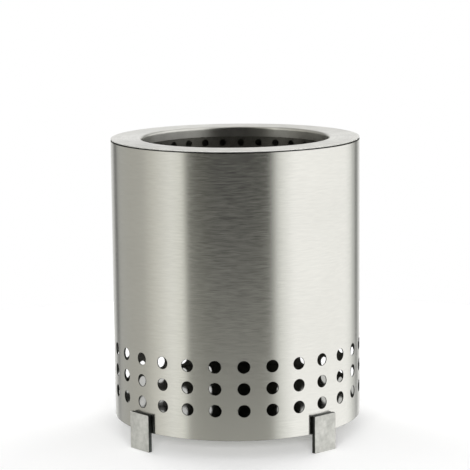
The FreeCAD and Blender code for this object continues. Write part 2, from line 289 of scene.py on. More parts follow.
def perforated_band_tree():
    """A band of drum wall: a tile round each hole, in rows and columns, drawn out to two levels and bent."""
    tree, add, given = add_tree("Perforated band", {
        "Radius": "Float", "Columns": "Int", "Rows": "Int", "Row pitch": "Float", "Hole radius": "Float",
        "Lowest row": "Float", "Bottom": "Float", "Top": "Float", "First angle": "Float",
        "Steps a side": "Int", "Finish": "Material",
    })
    radius, columns, rows, pitch = (given[name] for name in ("Radius", "Columns", "Rows", "Row pitch"))
    half_girth = add("ShaderNodeMath", {0: radius, 1: math.pi}, operation="MULTIPLY")
    half_width = add("ShaderNodeMath", {0: half_girth, 1: columns}, operation="DIVIDE")
    half_height = add("ShaderNodeMath", {0: pitch, 1: 0.5}, operation="MULTIPLY")

    # One tile: a strip eight units long, run round a square of side 2 from its upper right corner
    around = add("ShaderNodeMath", {0: given["Steps a side"], 1: 4.0, 2: 1.0}, operation="MULTIPLY_ADD")
    strip = add("GeometryNodeMeshGrid",
                {"Size X": 8.0, "Size Y": 1.0, "Vertices X": around, "Vertices Y": hole_rings})
    here = add("ShaderNodeSeparateXYZ", {0: add("GeometryNodeInputPosition")}).outputs
    # Its X and Y cross over in turns: one stays at a side while the other runs
    sides = []
    for start in (5.0, 3.0):
        along = add("ShaderNodeMath", {0: here["X"], 1: start}, operation="ADD")
        folded_back = add("ShaderNodeMath", {0: along, 1: 4.0}, operation="PINGPONG")
        swing = add("ShaderNodeMath", {0: 2.0, 1: folded_back}, operation="SUBTRACT")
        sides.append(add("ShaderNodeClamp", {"Value": swing, "Min": -1.0, "Max": 1.0}))
    square = add("ShaderNodeCombineXYZ", {"X": sides[0], "Y": sides[1]})
    half_tile = add("ShaderNodeCombineXYZ", {"X": half_width, "Y": half_height})
    tile_edge = add("ShaderNodeVectorMath", {0: square, 1: half_tile}, operation="MULTIPLY")
    compass = add("ShaderNodeVectorMath", {0: square}, operation="NORMALIZE")
    hole_edge = add("ShaderNodeVectorMath", {0: compass, "Scale": given["Hole radius"]}, operation="SCALE")
    inward = add("ShaderNodeMath", {0: here["Y"], 1: 0.5}, operation="ADD")
    place = add("ShaderNodeMix", {0: inward, 4: tile_edge, 5: hole_edge}, data_type="VECTOR")
    tile = add("GeometryNodeSetPosition", {"Geometry": strip, "Position": place.outputs[1]})
    tile = add("GeometryNodeMergeByDistance", {"Geometry": tile, "Distance": weld_distance})

    # Rows and columns of tiles, still flat
    first_row = add("ShaderNodeCombineXYZ", {"Y": given["Lowest row"]})
    row_step = add("ShaderNodeCombineXYZ", {"Y": pitch})
    row_line = add("GeometryNodeMeshLine",
                   {"Count": rows, "Start Location": first_row, "Offset": row_step}, mode="OFFSET")
    column = add("GeometryNodeInstanceOnPoints", {"Points": row_line, "Instance": tile})
    column = add("GeometryNodeRealizeInstances", {0: column})
    tile_width = add("ShaderNodeMath", {0: half_width, 1: 2.0}, operation="MULTIPLY")
    column_step = add("ShaderNodeCombineXYZ", {"X": tile_width})
    column_line = add("GeometryNodeMeshLine", {"Count": columns, "Offset": column_step}, mode="OFFSET")
    sheet = add("GeometryNodeInstanceOnPoints", {"Points": column_line, "Instance": column})
    sheet = add("GeometryNodeRealizeInstances", {0: sheet})
    sheet = add("GeometryNodeMergeByDistance", {"Geometry": sheet, "Distance": weld_distance})

    # The plain wall above and below the holes, drawn out from the tiles' free edges
    rows_height = add("ShaderNodeMath", {0: rows, 1: pitch}, operation="MULTIPLY")
    tiles_bottom = add("ShaderNodeMath", {0: given["Lowest row"], 1: half_height}, operation="SUBTRACT")
    tiles_top = add("ShaderNodeMath", {0: tiles_bottom, 1: rows_height}, operation="ADD")
    level = add("ShaderNodeSeparateXYZ", {0: add("GeometryNodeInputPosition")})
    for edge, target in ((tiles_top, given["Top"]), (tiles_bottom, given["Bottom"])):
        on_edge = add("ShaderNodeMath", {0: level.outputs["Y"], 1: edge, 2: weld_distance},
                      operation="COMPARE")
        draw = add("ShaderNodeMath", {0: target, 1: edge}, operation="SUBTRACT")
        offset = add("ShaderNodeCombineXYZ", {"Y": draw})
        sheet = add("GeometryNodeExtrudeMesh", {
            "Mesh": sheet, "Selection": on_edge, "Offset": offset, "Offset Scale": 1.0,
        }, mode="EDGES")

    # Bent round the axis
    flat = add("ShaderNodeSeparateXYZ", {0: add("GeometryNodeInputPosition")}).outputs
    turn = add("ShaderNodeMath", {0: flat["X"], 1: radius}, operation="DIVIDE")
    angle = add("ShaderNodeMath", {0: turn, 1: given["First angle"]}, operation="ADD")
    spoke = add("ShaderNodeCombineXYZ", {"X": radius, "Z": flat["Y"]})
    bent = add("ShaderNodeVectorRotate", {"Vector": spoke, "Angle": angle}, rotation_type="Z_AXIS")
    drum = add("GeometryNodeSetPosition", {"Geometry": sheet, "Position": bent})
    drum = add("GeometryNodeMergeByDistance", {"Geometry": drum, "Distance": weld_distance})
    return end_tree(tree, drum, given["Finish"])


def hole_row_tree():
    """Punches one ring of round holes through a level plate."""
    tree, add, given = add_tree("Ring of punched holes", {
        "Row radius": "Float", "Holes": "Int", "Hole radius": "Float", "Level": "Float", "Depth": "Float",
        "Finish": "Material",
    })
    middle = add("ShaderNodeCombineXYZ", {"Z": given["Level"]})
    places = add("GeometryNodeMeshCircle", {"Vertices": given["Holes"], "Radius": given["Row radius"]})
    punch = add("GeometryNodeMeshCylinder",
                {"Vertices": punch_steps, "Radius": given["Hole radius"], "Depth": given["Depth"]})
    punches = add("GeometryNodeInstanceOnPoints", {"Points": places, "Instance": punch.outputs["Mesh"]})
    punches = add("GeometryNodeRealizeInstances", {0: punches})
    punches = add("GeometryNodeTransform", {"Geometry": punches, "Translation": middle})
    cut = add("GeometryNodeMeshBoolean", {"Mesh 1": given["Geometry"], "Mesh 2": punches},
              operation="DIFFERENCE", solver="EXACT")
    return end_tree(tree, cut, given["Finish"])


def fastener_ring_tree():
    """Groups of fasteners round a drum: each group a row side by side, pointing away from the axis."""
    tree, add, given = add_tree("Fasteners round a drum", {
        "Fastener": "Object", "Groups": "Int", "A group": "Int", "Spacing": "Float", "Seat": "Float",
        "Level": "Float", "First angle": "Float", "Finish": "Material",
    })
    piece = add("GeometryNodeObjectInfo", {"Object": given["Fastener"]})
    gaps = add("ShaderNodeMath", {0: given["A group"], 1: -1.0}, operation="ADD")
    span = add("ShaderNodeMath", {0: gaps, 1: given["Spacing"]}, operation="MULTIPLY")
    first_side = add("ShaderNodeMath", {0: span, 1: -0.5}, operation="MULTIPLY")
    start = add("ShaderNodeCombineXYZ", {"X": given["Seat"], "Y": first_side, "Z": given["Level"]})
    step = add("ShaderNodeCombineXYZ", {"Y": given["Spacing"]})
    row = add("GeometryNodeMeshLine",
              {"Count": given["A group"], "Start Location": start, "Offset": step}, mode="OFFSET")
    group = add("GeometryNodeInstanceOnPoints", {"Points": row, "Instance": piece.outputs["Geometry"]})
    group = add("GeometryNodeRealizeInstances", {0: group})
    share = add("ShaderNodeMath", {0: math.tau, 1: given["Groups"]}, operation="DIVIDE")
    index = add("GeometryNodeInputIndex")
    angle = add("ShaderNodeMath", {0: index, 1: share, 2: given["First angle"]}, operation="MULTIPLY_ADD")
    turned = add("ShaderNodeCombineXYZ", {"Z": angle})
    on_axis = add("GeometryNodeMeshLine",
                  {"Count": given["Groups"], "Offset": (0.0, 0.0, 0.0)}, mode="OFFSET")
    groups = add("GeometryNodeInstanceOnPoints", {"Points": on_axis, "Instance": group, "Rotation": turned})
    return end_tree(tree, groups, given["Finish"])


def rivet_grid_tree():
    """Upright rivets in rows and columns centred on a point."""
    tree, add, given = add_tree("Rivets in rows", {
        "Rivet": "Object", "Columns": "Int", "Rows": "Int", "Column spacing": "Float",
        "Row spacing": "Float", "Middle": "Vector", "Finish": "Material",
    })
    piece = add("GeometryNodeObjectInfo", {"Object": given["Rivet"]})
    sizes = []
    for count, spacing in (("Columns", "Column spacing"), ("Rows", "Row spacing")):
        gaps = add("ShaderNodeMath", {0: given[count], 1: -1.0}, operation="ADD")
        sizes.append(add("ShaderNodeMath", {0: gaps, 1: given[spacing]}, operation="MULTIPLY"))
    places = add("GeometryNodeMeshGrid", {
        "Size X": sizes[0], "Size Y": sizes[1], "Vertices X": given["Columns"], "Vertices Y": given["Rows"],
    })
    grid = add("GeometryNodeInstanceOnPoints", {"Points": places, "Instance": piece.outputs["Geometry"]})
    placed = add("GeometryNodeTransform", {"Geometry": grid, "Translation": given["Middle"]})
    return end_tree(tree, placed, given["Finish"])


# Shapes


def in_scene(name, data):
    """An object in the scene, at the origin, with its data."""
    obj = bpy.data.objects.new(name, data)
    bpy.context.scene.collection.objects.link(obj)
    return obj


def new_object(name, vertices=(), faces=()):
    """A mesh object at the origin, from points and faces."""
    mesh = bpy.data.meshes.new(name)
    mesh.from_pydata(vertices, [], faces)
    return in_scene(name, mesh)


def made(obj):
    """Turns what an object's modifiers make into its own plain mesh, and takes the modifiers off."""
    graph = bpy.context.evaluated_depsgraph_get()
    graph.update()
    mesh = bpy.data.meshes.new_from_object(obj.evaluated_get(graph), depsgraph=graph)
    obj.modifiers.clear()
    obj.data = mesh
    mesh.name = obj.name
    return obj


def grown(name, tree, values, pattern=None):
    """A new piece that a tree makes, by itself or out of a pattern piece, which is then removed."""
    obj = new_object(name)
    grow(obj, tree, values)
    made(obj)
    if pattern:
        bpy.data.objects.remove(pattern)
    return obj


def outward(obj, radial=False):
    """Welds a mesh and points its faces outward; an open drum wall's faces point away from the axis."""
    mesh = bmesh.new()
    mesh.from_mesh(obj.data)
    bmesh.ops.remove_doubles(mesh, verts=mesh.verts, dist=weld_distance)
    bmesh.ops.recalc_face_normals(mesh, faces=mesh.faces)
    if radial:
        from_axis = sum(face.normal.dot(face.calc_center_median().xy.to_3d()) for face in mesh.faces)
        if from_axis < 0:
            bmesh.ops.reverse_faces(mesh, faces=mesh.faces)
    mesh.to_mesh(obj.data)
    mesh.free()
    return obj


def dressed(obj, finish, sheet=0.0, edge=cut_edge):
    """Gives a mesh its sheet thickness, inward, broken edges, smooth shading and a material."""
    if sheet:
        thickness = obj.modifiers.new("Sheet", "SOLIDIFY")
        thickness.thickness = sheet
        thickness.offset = -1
        thickness.use_even_offset = True
    if edge:
        rounding = obj.modifiers.new("Broken edges", "BEVEL")
        rounding.width = edge
        rounding.segments = cut_edge_steps
        rounding.limit_method = "ANGLE"
        rounding.angle_limit = edge_above
        rounding.use_clamp_overlap = True
        rounding.harden_normals = True
    made(obj)
    mesh = obj.data
    mesh.polygons.foreach_set("use_smooth", [True] * len(mesh.polygons))
    mesh.set_sharp_from_angle(angle=smooth_below)
    mesh.materials.clear()
    mesh.materials.append(finish)
    return obj


def facing(face):
    """How squarely a face looks away from the axis: 1 outward, -1 inward, 0 level or edge-on."""
    return face.normal.dot(face.center.xy.to_3d().normalized())


def trued(obj):
    """Gives round walls a cylinder's true normals and level faces a plane's: reflections run straight."""
    mesh = obj.data
    normals = [corner.vector.copy() for corner in mesh.corner_normals]
    for face in mesh.polygons:
        away = facing(face)
        for corner in face.loop_indices:
            if abs(away) > true_facing:
                place = mesh.vertices[mesh.loops[corner].vertex_index].co
                normals[corner] = place.xy.to_3d().normalized() * math.copysign(1, away)
            elif abs(face.normal.z) > true_facing:
                normals[corner] = face.normal.copy()
    mesh.normals_split_custom_set(normals)
    return obj


def rounded(points, radii):
    """A path's points with an arc at each inner corner, each point with the direction to its left."""
    points = [Vector(point) for point in points]
    ahead = (points[1] - points[0]).normalized()
    samples = [(points[0], Vector((-ahead.y, ahead.x)))]
    for before, here, after, radius in zip(points, points[1:], points[2:], radii):
        back = (before - here).normalized()
        ahead = (after - here).normalized()
        half_angle = back.angle(ahead) / 2
        centre = here + (back + ahead).normalized() * radius / math.sin(half_angle)
        first = (here + back * radius / math.tan(half_angle) - centre).normalized()
        last = (here + ahead * radius / math.tan(half_angle) - centre).normalized()
        turns_left = first.x * last.y - first.y * last.x > 0
        for step in range(bend_steps + 1):
            spoke = first.slerp(last, step / bend_steps)
            samples.append((centre + spoke * radius, -spoke if turns_left else spoke))
    ahead = (points[-1] - points[-2]).normalized()
    samples.append((points[-1], Vector((-ahead.y, ahead.x))))
    return samples


def sheet_sides(points, radii, sheet):
    """The two sides of a folded sheet's section: on the points, and a sheet away to their left."""
    samples = rounded(points, radii)
    return [point for point, left in samples], [point + left * sheet for point, left in samples]


def spun(name, section, steps=turn_steps):
    """A solid of revolution from a closed section of (radius, level); a radius may depend on the angle."""
    vertices, rings = [], []
    for radius, level in section:
        if radius == 0:
            rings.append([len(vertices)] * steps)
            vertices.append((0, 0, level))
            continue
        rings.append(range(len(vertices), len(vertices) + steps))
        for step in range(steps):
            angle = math.tau * step / steps
            away = radius(angle) if callable(radius) else radius
            vertices.append((away * math.cos(angle), away * math.sin(angle), level))
    faces = []
    for inner, outer in zip(rings, rings[1:] + rings[:1]):
        for step in range(steps):
            following = (step + 1) % steps
            corners = dict.fromkeys((inner[step], inner[following], outer[following], outer[step]))
            if len(corners) > 2:
                faces.append(tuple(corners))
    return outward(new_object(name, vertices, faces))


def spun_sheet(name, points, radii, sheet):
    """A round piece of folded sheet."""
    near, far = sheet_sides(points, radii, sheet)
    section = [(radius if radius > weld_distance else 0, level) for radius, level in near + far[::-1]]
    return spun(name, section)


def drawn_out(name, points, radii, sheet, width):
    """A straight piece of folded sheet, drawn out sideways to a width."""
    near, far = sheet_sides(points, radii, sheet)
    vertices = [(point.x, side, point.y) for side in (-width / 2, width / 2) for point in near + far]
    count = len(near)
    corners = [[index + offset for offset in (0, count, 3 * count, 2 * count)] for index in range(count)]
    faces = [tuple(corners[0]), tuple(corners[-1])]
    for here, after in zip(corners, corners[1:]):
        for side in range(4):
            other = (side + 1) % 4
            faces.append((here[side], here[other], after[other], after[side]))
    return outward(new_object(name, vertices, faces))


def perforated(name, finish, bands):
    """A drum wall of perforated bands, one above the other."""
    pieces = [grown(name, band_tree, {**band, "Finish": finish}) for band in bands]
    wall = bmesh.new()
    for piece in pieces:
        wall.from_mesh(piece.data)
    for piece in pieces[1:]:
        bpy.data.objects.remove(piece)
    wall.to_mesh(pieces[0].data)
    wall.free()
    return outward(pieces[0], radial=True)


def turned_over(obj, path, bend):
    """Draws a drum wall's edge over a bend to the path's end, and closes it where that is on the axis."""
    samples = [point for point, left in rounded(path, [bend])]
    level = samples[1].y
    mesh = bmesh.new()
    mesh.from_mesh(obj.data)
    edges = [edge for edge in mesh.edges
             if edge.is_boundary and all(abs(vertex.co.z - level) < weld_distance for vertex in edge.verts)]
    for radius, height in samples[2:]:
        extruded = bmesh.ops.extrude_edge_only(mesh, edges=edges)["geom"]
        edges = [part for part in extruded if isinstance(part, bmesh.types.BMEdge)]
        for vertex in {vertex for edge in edges for vertex in edge.verts}:
            spoke = vertex.co.xy.normalized() * radius
            vertex.co = (spoke.x, spoke.y, height)
    mesh.to_mesh(obj.data)
    mesh.free()
    return outward(obj, radial=True)


# Finishes


def linear(code):
    """An sRGB hex colour as the linear colour that a shader takes."""
    channels = [int(code[start:start + 2], 16) / 255 for start in (1, 3, 5)]
    lit = [value / 12.92 if value <= 0.04045 else ((value + 0.055) / 1.055) ** 2.4 for value in channels]
    return lit + [1.0]


def new_material(name):
    """A material, what adds a node to its empty tree, and the coordinates of the piece it is on."""
    material = bpy.data.materials.new(name)
    material.use_nodes = True
    material.node_tree.nodes.clear()
    add = partial(add_node, material.node_tree)
    return material, add, add("ShaderNodeTexCoord").outputs["Object"]


def streaks(add, stretched):
    """Noise for brush lines, its grid stood on a corner so that its cells don't line up into bars."""
    turned = add("ShaderNodeVectorRotate", {
        "Vector": stretched, "Axis": (-1.0, 1.0, 0.0), "Angle": math.atan(math.sqrt(2)),
    }, rotation_type="AXIS_ANGLE")
    return add("ShaderNodeTexNoise", {"Vector": turned, "Scale": 1.0, "Detail": 3.0, "Roughness": 0.6})


def lines_round_wall(add, place, length, pitch):
    """Brush lines that run round an upright wall: noise drawn out level."""
    stretched = add("ShaderNodeVectorMath", {0: place, 1: (1 / length, 1 / length, 1 / pitch)},
                    operation="MULTIPLY")
    return streaks(add, stretched)


def lines_round_plate(add, place, radius, length, pitch):
    """Brush lines that run round a level plate, in circles about the axis."""
    level = add("ShaderNodeVectorMath", {0: place, 1: (1.0, 1.0, 0.0)}, operation="MULTIPLY")
    distance = add("ShaderNodeVectorMath", {0: level}, operation="LENGTH").outputs["Value"]
    compass = add("ShaderNodeVectorMath", {0: level}, operation="NORMALIZE")
    along = add("ShaderNodeVectorMath", {0: compass, "Scale": radius / length}, operation="SCALE")
    across = add("ShaderNodeMath", {0: distance, 1: 1 / pitch}, operation="MULTIPLY")
    lifted = add("ShaderNodeCombineXYZ", {"Z": across})
    stretched = add("ShaderNodeVectorMath", {0: along, 1: lifted}, operation="ADD")
    return streaks(add, stretched)


def blotches(add, place, size):
    """Soft cloudy patches."""
    return add("ShaderNodeTexNoise", {"Vector": place, "Scale": 1 / size, "Detail": 2.0})


def metal(add, tones, marks, patches, smoothest, roughest, relief, brushed=0.0, bare=1.0):
    """Metal with marks cut to a depth, darker and rougher in them, and with slow patches of tone."""
    # Noise keeps within about 0.2 of 0.5, and the sum of two within about 0.3 of 1
    mixed = add("ShaderNodeMath", {0: marks, 1: patches}, operation="ADD")
    spread = add("ShaderNodeMapRange", {"Value": mixed, "From Min": 0.7, "From Max": 1.3})
    colour = add("ShaderNodeMix", {0: spread, 6: linear(tones[0]), 7: linear(tones[1])}, data_type="RGBA")
    rough = add("ShaderNodeMapRange", {
        "Value": marks, "From Min": 0.3, "From Max": 0.7, "To Min": roughest, "To Max": smoothest,
    })
    bump = add("ShaderNodeBump", {"Height": marks, "Distance": relief, "Strength": 1.0})
    looks = {"Base Color": colour.outputs[2], "Metallic": bare, "Roughness": rough, "Normal": bump}
    if brushed:
        # The tangent runs round the axis: a quarter turn draws reflections out across the lines
        tangent = add("ShaderNodeTangent", direction_type="RADIAL", axis="Z")
        looks |= {"Anisotropic": brushed, "Anisotropic Rotation": 0.25, "Tangent": tangent}
    shader = add("ShaderNodeBsdfPrincipled", looks)
    add("ShaderNodeOutputMaterial", {"Surface": shader})


def brushed_casing():
    """Stainless sheet, belt-brushed round the drum: reflections become upright bands with sharp sides."""
    material, add, place = new_material("Brushed stainless casing")
    # Real brush lines lie about 0.1 mm apart and wouldn't show: these are drawn coarser
    lines = lines_round_wall(add, place, length=12 * mm, pitch=1.3 * mm)
    metal(add, ("#E7E6E2", "#EFEEEA"), lines, blotches(add, place, 90 * mm), smoothest=0.165,
          roughest=0.255, relief=0.004 * mm, brushed=0.62)
    return material


def brushed_ring():
    """Stainless ring, brushed in circles after pressing: a soft even sheen that turns with the ring."""
    material, add, place = new_material("Circle-brushed stainless ring")
    # Coarser than the real 0.1 mm lines, as on the casing
    lines = lines_round_plate(add, place, reach("top_ring"), length=30 * mm, pitch=1.4 * mm)
    metal(add, ("#D3D2CE", "#EAE9E4"), lines, blotches(add, place, 20 * mm), smoothest=0.30,
          roughest=0.38, relief=0.002 * mm, brushed=0.7)
    return material


def mill_finish(name, tones, smoothest, roughest):
    """Stainless left as rolled, drawn or turned: a faint even grain and cloudy patches, no bands."""
    material, add, place = new_material(name)
    # The real grain is finer than 0.1 mm and wouldn't show: it is drawn coarser
    grain = add("ShaderNodeTexNoise", {"Vector": place, "Scale": 1 / (1.6 * mm), "Detail": 4.0})
    metal(add, tones, grain, blotches(add, place, 25 * mm), smoothest, roughest, relief=0.003 * mm)
    return material


def matt_bar(name, tones):
    """Steel pickled or deburred: pale and mottled, with a matt bloom over the metal."""
    material, add, place = new_material(name)
    mottle = add("ShaderNodeTexNoise",
                 {"Vector": place, "Scale": 1 / (4 * mm), "Detail": 5.0, "Roughness": 0.65})
    metal(add, tones, mottle, blotches(add, place, 12 * mm), smoothest=0.36, roughest=0.50,
          relief=0.01 * mm, bare=0.5)
    return material


def laser_cut():
    """A laser-cut edge: a dark, dull and finely uneven oxide, also put on the legs' backs as painted shade.
    """
    material, add, place = new_material("Laser-cut edge")
    # The real oxide's grain of about 0.3 mm is drawn coarser, so that it shows
    grain = add("ShaderNodeTexNoise", {"Vector": place, "Scale": 1 / (0.8 * mm), "Detail": 3.0})
    metal(add, ("#313332", "#555856"), grain, blotches(add, place, 8 * mm), smoothest=0.4,
          roughest=0.55, relief=0.02 * mm)
    return material


band_tree = perforated_band_tree()
punch_tree = hole_row_tree()
screw_tree = fastener_ring_tree()
rivet_tree = rivet_grid_tree()
casing_steel = brushed_casing()
ring_steel = brushed_ring()
# Dull behind the vents, its tone darkened as painted shade inside the casing; soft in the firebox, and
# glossy on the plate that mirrors the vents
inside_steel = mill_finish("Dull rolled side of the casing", ("#7E7D79", "#98978F"), 0.34, 0.44)
firebox_steel = mill_finish("Rolled firebox sheet", ("#8C8A85", "#ADABA5"), 0.30, 0.40)
plate_steel = mill_finish("Glossy rolled plate", ("#94948F", "#ACACA7"), 0.05, 0.09)
# Darkened as painted shade, so that the lip and the flange read as the shaded seam under the ring
tinted_steel = mill_finish("Heat-darkened sheet", ("#2E2D2B", "#454340"), 0.40, 0.50)
# Clean worked sheet, with a soft grey sheen
pan_steel = mill_finish("Pressed pan sheet", ("#A9A8A4", "#CFCECA"), 0.26, 0.36)
grate_steel = mill_finish("Cut grate plate", ("#8F8E8A", "#B5B4B0"), 0.34, 0.46)
clip_steel = mill_finish("Bent strip", ("#B2B1AD", "#D2D1CD"), 0.26, 0.34)
# Turned, drawn and headed steel, smoother and with small bright glints
turned_steel = mill_finish("Turned screw steel", ("#C2C2BE", "#DADAD6"), 0.18, 0.26)
wire_steel = mill_finish("Drawn wire", ("#C6C5C1", "#DDDCD8"), 0.16, 0.24)
rivet_steel = mill_finish("Domed rivet steel", ("#C0BFBB", "#D8D7D3"), 0.18, 0.26)
# Pale and matt, so that bars and rims stand out from the bright walls; on the rims the pale tone is also a
# painted highlight, so that shaded edges read as lit lines
leg_steel = matt_bar("Pickled flat bar", ("#A1A19C", "#C0C0BB"))
rim_steel = matt_bar("Deburred sheet edge", ("#C0C0BC", "#DADAD6"))
cut_steel = laser_cut()

body_of = {node: body for body, nodes in frame["record"]["behaviour"]["bodies"].items() for node in nodes}


# Pieces


def stands_for(obj, node):
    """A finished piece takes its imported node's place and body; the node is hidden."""
    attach(obj, body_of[node])
    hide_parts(node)


def parted(obj, finish, chosen):
    """Gives the faces that a test picks out a finish of their own."""
    obj.data.materials.append(finish)
    for face in obj.data.polygons:
        if chosen(face):
            face.material_index = len(obj.data.materials) - 1
    return obj


def folded(name, points, bend, sheet, finish):
    """A round piece of sheet with one bend, in its finish."""
    return trued(dressed(spun_sheet(name, points, [bend], sheet), finish))


def rimmed(obj, sheet):
    """Gives a round sheet's outer cut edge its pale deburred finish, which is also a painted highlight."""
    rim = max(vertex.co.xy.length for vertex in obj.data.vertices) - sheet
    return parted(obj, rim_steel, lambda face: facing(face) > side_facing and face.center.xy.length > rim)


def casing():
    """The casing: a rolled drum with rows of air inlet holes, its top edge turned in to a lip."""
    radius, bottom, top = reach("outer_shell"), lowest("outer_shell"), highest("outer_shell")
    wall_top = top - casing_bend_radius
    drum = perforated("casing_drum", casing_steel, [{
        "Radius": radius, "Columns": vent_columns, "Rows": vent_rows, "Row pitch": vent_row_pitch,
        "Hole radius": vent_radius, "Lowest row": bottom + lowest_vent_height, "Bottom": bottom,
        "Top": wall_top, "First angle": leg_angle, "Steps a side": vent_side_steps,
    }])
    lip_end = radius - casing_wall - casing_lip_width
    turned_over(drum, [(radius, bottom), (radius, top), (lip_end, top)], casing_bend_radius)
    trued(dressed(drum, casing_steel, sheet=casing_wall, edge=vent_edge_break))
    # Inward faces get the dark dull finish: painted shade inside the casing
    parted(drum, inside_steel, lambda face: facing(face) < -side_facing)
    parted(drum, cut_steel, lambda face: abs(facing(face)) < wall_facing and face.center.z < wall_top)
    # The lip's upper faces get the dark sheet: painted shade for the seam under the ring
    parted(drum, tinted_steel, lambda face: face.normal.z > lip_facing and face.center.z > wall_top)
    stands_for(drum, "outer_shell")


def cover_ring():
    """The ring over the air gap, its opening turned down to a collar."""
    opening = reach("outer_shell") - ring_width
    top = highest("outer_shell") + seam + flange_sheet + seam + ring_sheet
    points = [(reach("top_ring"), top), (opening, top), (opening, lowest("top_ring"))]
    ring = folded("cover_ring", points, ring_bend_radius, ring_sheet, ring_steel)
    stands_for(rimmed(ring, ring_sheet), "top_ring")


def firebox_drum():
    """The firebox wall: primary air holes low down, secondary air holes under the ring's collar."""
    bottom, top, radius = lowest("firebox_wall"), highest("firebox_wall"), reach("firebox_wall")
    middle = (bottom + top) / 2
    drum = perforated("firebox_drum", firebox_steel, [{
        "Radius": radius, "Columns": primary_columns, "Rows": primary_rows, "Row pitch": primary_row_pitch,
        "Hole radius": primary_radius, "Lowest row": bottom + lowest_primary_height, "Bottom": bottom,
        "Top": middle, "First angle": 0.0, "Steps a side": primary_side_steps,
    }, {
        "Radius": radius, "Columns": secondary_columns, "Rows": 1, "Row pitch": 4 * secondary_radius,
        "Hole radius": secondary_radius, "Lowest row": highest("top_ring") - secondary_drop,
        "Bottom": middle, "Top": top, "First angle": 0.0, "Steps a side": secondary_side_steps,
    }])
    stands_for(trued(dressed(drum, firebox_steel, sheet=firebox_sheet)), "firebox_wall")


def hanging_flange():
    """The angle ring that the firebox hangs by, on the casing's lip."""
    neck = reach("firebox_wall") + seam + flange_sheet
    level = highest("outer_shell") + seam
    points = [(neck, lowest("firebox_flange")), (neck, level), (reach("firebox_flange"), level)]
    # The flange's dark sheet is painted shade under the ring
    flange = folded("hanging_flange", points, flange_bend_radius, flange_sheet, tinted_steel)
    stands_for(rimmed(flange, flange_sheet), "firebox_flange")


def firebox_bottom():
    """The firebox's pressed floor, its edge turned up."""
    radius, level = reach("firebox_floor"), lowest("firebox_floor")
    points = [(0, level), (radius, level), (radius, highest("firebox_floor"))]
    bottom = folded("firebox_bottom", points, floor_bend_radius, floor_sheet, firebox_steel)
    stands_for(bottom, "firebox_floor")


def pan_ledge():
    """The angle ring in the firebox that the ash pan hangs on."""
    radius, level = reach("firebox_ledge"), highest("firebox_ledge")
    points = [(radius, lowest("firebox_ledge")), (radius, level), (ledge_inner_radius, level)]
    stands_for(folded("pan_ledge", points, ledge_bend_radius, ledge_sheet, firebox_steel), "firebox_ledge")


def bottom_plate():
    """The plate under the vents: bright, so that it mirrors the vents on the far side."""
    radius, level = reach("base_plate"), highest("base_plate")
    points = [(radius, lowest("base_plate")), (radius, level), (0, level)]
    stands_for(folded("bottom_plate", points, base_bend_radius, base_sheet, plate_steel), "base_plate")


def foot(node, angle):
    """A leg of flat bar: a pale pickled face, with dark oxide on its cut edges, and the same dark finish on
    its back against the casing as painted shade.
    """
    near = reach("outer_shell") + seam
    far, half, height = near + leg_thickness, leg_width / 2, highest(node)
    vertices = [(x, y, z) for x in (near, far) for y in (-half, half) for z in (0, height)]
    faces = [(0, 1, 3, 2), (4, 6, 7, 5), (0, 4, 5, 1), (2, 3, 7, 6), (0, 2, 6, 4), (1, 5, 7, 3)]
    bar = outward(new_object(node.replace("leg", "foot"), vertices, faces))
    dressed(bar, leg_steel, edge=leg_edge_round)
    # Sides and ends get the dark oxide; on the back, against the casing, the dark finish is painted shade
    parted(bar, cut_steel, lambda face: face.normal.x < front_facing)
    bar.data.transform(Matrix.Rotation(angle, 4, "Z"))
    stands_for(bar, node)


def screw():
    """A screw with a hexagon socket that points along +X from the seat of its head."""
    def socket(angle):
        return screw_socket_flats / 2 / math.cos(angle % (math.tau / 6) - math.tau / 12)

    top = -screw_head_height
    tip = leg_thickness
    section = [
        (0, top + screw_socket_depth), (socket, top + screw_socket_depth), (socket, top),
        (screw_head_radius - screw_edge, top), (screw_head_radius, top + screw_edge), (screw_head_radius, 0),
        (screw_shank_radius, 0), (screw_shank_radius, tip), (0, tip),
    ]
    piece = spun("screw", section, screw_steps)
    piece.data.transform(Matrix.Rotation(math.radians(90), 4, "Y"))
    return piece


def foot_screws():
    """The eight screws that clamp legs, casing and base plate, seen from below."""
    inside = reach("base_plate") - base_sheet
    seat = math.sqrt(inside ** 2 - (screw_spacing / 2 + screw_head_radius) ** 2)
    piece = screw()
    screws = grown("foot_screws", screw_tree, {
        "Fastener": piece, "Groups": 4, "A group": 2, "Spacing": screw_spacing, "Seat": seat,
        "Level": screw_level, "First angle": leg_angle, "Finish": turned_steel,
    }, pattern=piece)
    stands_for(dressed(screws, turned_steel, edge=0), "leg_screws")


def clip(node, angle):
    """A bent strip on the casing whose pad stands just off the firebox."""
    bend_start = lowest(node) + clip_pad
    bend_end = bend_start + clip_slope
    pad = reach("firebox_wall") + clip_play + clip_sheet
    wall = math.sqrt((reach("outer_shell") - casing_wall) ** 2 - (clip_width / 2) ** 2) - seam
    points = [(pad, lowest(node)), (pad, bend_start), (wall, bend_end), (wall, bend_end + clip_foot)]
    strip = drawn_out(node.replace("spacer_", ""), points, [clip_bend_radius] * 2, clip_sheet, clip_width)
    strip.data.transform(Matrix.Rotation(angle, 4, "Z"))
    stands_for(dressed(strip, clip_steel), node)


def rivet(grip):
    """An upright rivet with a low dome at each end of its grip."""
    dome_radius = (rivet_head_radius ** 2 + rivet_head_height ** 2) / (2 * rivet_head_height)
    half_angle = math.asin(rivet_head_radius / dome_radius)
    dome = []
    for step in range(bend_steps + 1):
        angle = half_angle * step / bend_steps
        dome.append((dome_radius * math.sin(angle), rivet_head_height - dome_radius * (1 - math.cos(angle))))
    lower = [(radius, -height) for radius, height in dome]
    upper = [(radius, grip + height) for radius, height in dome[::-1]]
    return spun("rivet", lower + [(rivet_radius, 0), (rivet_radius, grip)] + upper, rivet_steps)


